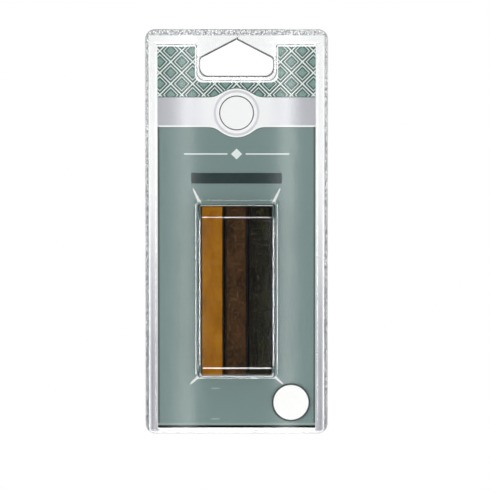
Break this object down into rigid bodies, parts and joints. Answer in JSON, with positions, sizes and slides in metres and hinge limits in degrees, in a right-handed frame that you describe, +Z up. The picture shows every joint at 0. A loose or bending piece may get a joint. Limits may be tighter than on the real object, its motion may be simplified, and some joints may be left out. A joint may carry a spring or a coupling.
{
  "type": "furniture retouch crayon pack",
  "caption": "Clear clamshell hang pack with a printed card and wax touch-up crayons in a raised bubble; the front opens on a fold along its lower edge.",
  "frame": {"origin": "apex of the hang hole, in the plane where the two clear shells meet", "axes": "+Z up as the pack hangs, front of the pack towards -Y, +X to the right seen from the front"},
  "size_m": [0.08, 0.012, 0.1779],
  "materials": {
    "clear_sheet": "polished",
    "printed_card": "satin",
    "white_paper": "matte",
    "ochre_wax": "satin",
    "brown_wax": "satin",
    "dark_wax": "satin"
  },
  "bodies": {
    "back": {"back_shell": "clear_sheet", "insert_card": "printed_card"},
    "front": {"front_shell": "clear_sheet", "shade_label": "white_paper"},
    "ochre": {"crayon_ochre": "ochre_wax"},
    "brown": {"crayon_brown": "brown_wax"},
    "dark": {"crayon_dark": "dark_wax"}
  },
  "joints": [
    {"name": "front_fold", "type": "hinge", "parent": "back", "child": "front", "pos_m": [0, 0, -0.17355], "axis": [1, 0, 0], "range_deg": [0, 180]},
    {"name": "ochre_play", "type": "slide", "parent": "front", "child": "ochre", "axis": [0, 0, 1], "range_m": [0, 0.0005]},
    {"name": "brown_play", "type": "slide", "parent": "front", "child": "brown", "axis": [0, 0, 1], "range_m": [0, 0.0005]},
    {"name": "dark_play", "type": "slide", "parent": "front", "child": "dark", "axis": [0, 0, 1], "range_m": [0, 0.0005]}
  ]
}
